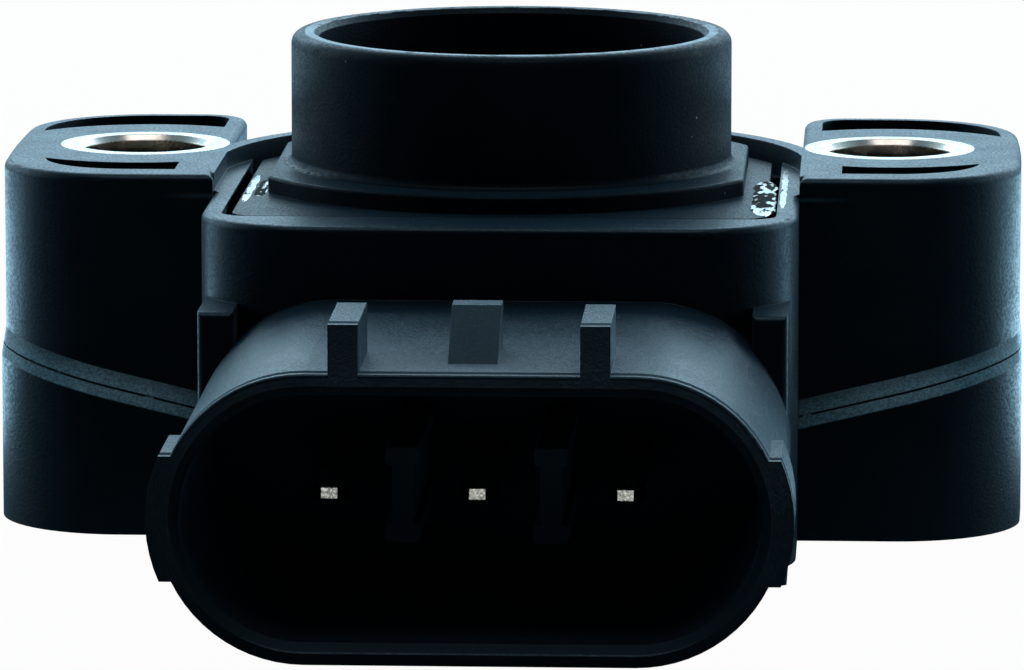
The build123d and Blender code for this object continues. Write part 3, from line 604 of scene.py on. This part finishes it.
def studio_world():
    """A pale blue surround, bright behind the part and dark on the near side. The camera sees it white."""
    world = bpy.data.worlds.new("studio")
    bpy.context.scene.world = world
    world.use_nodes = True
    studio = Nodes(world.node_tree)
    studio.tree.nodes.clear()
    direction = studio.add("ShaderNodeTexCoord").outputs["Generated"]
    _, behind, above = studio.add("ShaderNodeSeparateXYZ", {0: direction}).outputs
    level = studio.spread(behind, -0.6, 0.9, 0.02, 1.2)
    level = studio.times(level, studio.spread(above, 0.25, 0.9, 1.0, 0.35))
    around = studio.add("ShaderNodeBackground", {"Color": SKY, "Strength": level}).outputs[0]
    white = studio.add("ShaderNodeBackground", {"Color": WHITE, "Strength": 1.0}).outputs[0]
    seen = studio.add("ShaderNodeLightPath").outputs["Is Camera Ray"]
    studio.add("ShaderNodeOutputWorld", {"Surface": studio.blend_shaders(seen, around, white)})


def floor_material():
    """A white floor that keeps a faint shadow.

    In reflections it shows painted light: painted darker towards the near side, with a glowing patch in front
    of the part and two glowing strips behind it, one on either side, though none of them is a lamp.
    """
    shader = Shader("floor_white")
    shader.tree.nodes.remove(shader.bsdf)
    tone = shader.mix(shader.noise(60, detail=3.0), (0.86, 0.87, 0.88), (0.9, 0.9, 0.9))
    matte = shader.add("ShaderNodeBsdfDiffuse", {"Color": tone}).outputs[0]
    x, y, _ = shader.axes()
    # Painted reflections: glowing strips and a patch, and painted shade towards the near side, seen only in
    # reflections
    beside = shader.within(shader.math("ABSOLUTE", x), 14, 75, 15)
    strips = shader.times(shader.within(y, 24, 100, 12), beside)
    far = shader.spread(y, -30 * MM, 60 * MM, 0.03, 0.35)
    far = shader.larger(shader.times(strips, REFLECTED_STRIP_GLOW), far)
    patch = shader.times(shader.within(y, -78, -60, 6), shader.within(x, -10, 10, 6))
    path = shader.add("ShaderNodeLightPath").outputs
    mirrored = shader.larger(path["Is Glossy Ray"], path["Is Transmission Ray"])
    mirror = {"Color": shader.mix(patch, SKY, WHITE), "Strength": shader.larger(far, patch)}
    surface = shader.blend_shaders(mirrored, matte, shader.add("ShaderNodeEmission", mirror).outputs[0])
    shown = shader.add("ShaderNodeEmission", {"Color": WHITE, "Strength": 1.0}).outputs[0]
    surface = shader.blend_shaders(shader.times(path["Is Camera Ray"], FLOOR_SHOWN), surface, shown)
    shader.put(shader.tree.nodes["Material Output"].inputs["Surface"], surface)
    return shader.material


def add_floor():
    """The plain floor just under the part, in metres."""
    mesh = bpy.data.meshes.new("floor")
    low = (BASE_Z - FLOOR_GAP) * MM
    corners = [(-0.4, -0.2, low), (0.4, -0.2, low), (0.4, 0.5, low), (-0.4, 0.5, low)]
    mesh.from_pydata(corners, [], [(0, 1, 2, 3)])
    mesh.materials.append(floor_material())
    floor = bpy.data.objects.new("floor", mesh)
    bpy.context.scene.collection.objects.link(floor)


def add_lamp(name, place, size, power, colour):
    """A softbox that faces the part, placed and sized in metres."""
    lamp = bpy.data.lights.new(name, "AREA")
    lamp.shape = "RECTANGLE"
    lamp.size, lamp.size_y = size
    lamp.energy = power
    lamp.color = colour
    holder = bpy.data.objects.new(name, lamp)
    holder.location = place
    holder.rotation_mode = "QUATERNION"
    holder.rotation_quaternion = (-Vector(place)).to_track_quat("-Z", "Y")
    bpy.context.scene.collection.objects.link(holder)


def add_camera(azimuth, elevation, distance, target, lens):
    """The photo's view: angles in degrees, distance and target in the part's millimetres."""
    a, e = math.radians(azimuth), math.radians(elevation)
    back = Vector((math.sin(a) * math.cos(e), -math.cos(a) * math.cos(e), math.sin(e)))
    camera = bpy.data.cameras.new("camera")
    camera.sensor_width = 36.0
    camera.lens = lens
    camera.clip_start = 0.02
    camera.clip_end = 10.0
    holder = bpy.data.objects.new("camera", camera)
    holder.location = (Vector(target) + back * distance) * MM
    holder.rotation_mode = "QUATERNION"
    holder.rotation_quaternion = (-back).to_track_quat("-Z", "Y")
    bpy.context.scene.collection.objects.link(holder)
    bpy.context.scene.camera = holder


# Materials for the solids
sealant_gloss = cured_sealant("sealant_gloss", gloss=0.3)
# Black sealant that reflects nothing, lining the grooves' walls as painted shade
sealant_dull_shade_lining = cured_sealant("sealant_dull_shade_lining", gloss=0.0)
terminal_tin = drawn_metal("terminal_tin", (0.90, 0.88, 0.80), (0.78, 0.76, 0.68), 0.2, grain=9000)
solder_joint = solder_metal()
spring_wire = drawn_metal("spring_wire", (0.62, 0.61, 0.59), (0.46, 0.45, 0.43), 0.26, along=(1.0, 1.0, 0.3))
carbon_track = printed_layer("carbon_track", (0.028, 0.028, 0.03), (0.06, 0.06, 0.06), 0.5, metallic=0.0)
silver_track = printed_layer("silver_track", (0.66, 0.65, 0.62), (0.5, 0.49, 0.46), 0.42, metallic=1.0)

dress("housing", housing_material())
dress("collar_cover", cover_material())
dress("sealant", sealant_gloss)
dress("bushing_left", plated_steel("sleeve_steel_left", -1))
dress("bushing_right", plated_steel("sleeve_steel_right", 1))
for place in ("left", "middle", "right"):
    dress("terminal_" + place, terminal_tin)
    dress("solder_" + place, solder_joint)
dress("track_board", fired_ceramic())
dress("resistor_track", carbon_track)
dress("collector_track", silver_track)
dress("rotor", soft_polymer("rotor_plastic", (0.05, 0.047, 0.043), (0.075, 0.07, 0.064), roughness=0.42))
dress("thrust_washer", soft_polymer("washer_plastic", (0.72, 0.70, 0.64), (0.8, 0.78, 0.72), roughness=0.4))
dress("wiper", drawn_metal("contact_metal", (0.83, 0.66, 0.38), (0.7, 0.52, 0.27), roughness=0.28))

# The return spring, a wire coil in place of the imported one
spring_mesh = wire_mesh("return_spring_wire", spring_line(), SPRING_WIRE_R * MM)
spring = new_piece("return_spring_wire", spring_mesh, spring_wire)
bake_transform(spring)
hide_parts("return_spring")

# Sealant that squeezed out onto the ledges beside the collar's pedestal
film_bands = cured_film("film_band", 0.22)
film_left = cured_film("film_left", 0.03)
film_right = cured_film("film_right", 0.03, front_cover=0.18, front_y=-9.2)
ledge_x = COVER_HALF_WIDTH - 0.38
# Each film's name, material, inner and outer x, front and back y, and seed
films = (
    ("sealant_band_left", film_bands, -COVER_HALF_WIDTH + 0.42, -COVER_HALF_WIDTH, -8.4, 0.5, 3.0),
    ("sealant_patch_left", film_left, -PEDESTAL_HALF_FLAT, -ledge_x, -6.6, -1.2, 5.0),
    ("sealant_band_right", film_bands, SEAT_HALF_WIDTH + 0.04, SEAT_HALF_WIDTH + 0.4, -9.6, 3.5, 8.0),
    ("sealant_patch_right", film_right, PEDESTAL_HALF_FLAT + 0.25, SEAT_HALF_WIDTH - 0.01, -11.6, -0.5, 11.0),
)
for name, film, inner_x, outer_x, front_y, back_y, seed in films:
    smear = sheet_mesh(name, smear_grid(inner_x, outer_x, front_y, back_y, FILM_RISE, seed), FILM_DEPTH)
    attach(new_piece(name, smear, film), "sensor_body")

# Sealant in the grooves on both sides of the cover; it climbs their walls as a black lining that reflects
# nothing, which paints the grooves' shade
for name, side, seed in (("sealant_meniscus_left", -1, 14.0), ("sealant_meniscus_right", 1, 17.0)):
    climbing = meniscus_grid(side, MENISCUS_FRONT_Y, MENISCUS_BACK_Y, seed)
    meniscus = sheet_mesh(name, climbing, MENISCUS_DEPTH)
    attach(new_piece(name, meniscus, sealant_dull_shade_lining), "sensor_body")

# Moulding flash left on the collar's lip, painted pale as a highlight
flash_highlight = soft_polymer("flash_painted_highlight", (0.30, 0.36, 0.38), (0.62, 0.70, 0.72), roughness=0.3)
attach(new_piece("collar_lip_flash", lip_flash(), flash_highlight), "sensor_body")

# Floor, light and camera
studio_world()
add_floor()
add_lamp("back_softbox", place=(0.0, 0.5, 0.28), size=(0.7, 0.35), power=1.5, colour=(0.66, 0.88, 1.0))
add_lamp("top_softbox", place=(0.0, -0.1, 0.5), size=(0.35, 0.25), power=0.35, colour=(0.95, 0.98, 1.0))
for side, name in ((-1, "left_softbox"), (1, "right_softbox")):
    add_lamp(name, place=(side * 0.45, 0.2, 0.15), size=(0.3, 0.3), power=0.22, colour=(0.93, 0.98, 1.0))
add_camera(azimuth=2.8, elevation=9.1, distance=355.0, target=(-0.18, 4.06, -8.40), lens=281.25)
bpy.context.scene.view_settings.view_transform = "Standard"
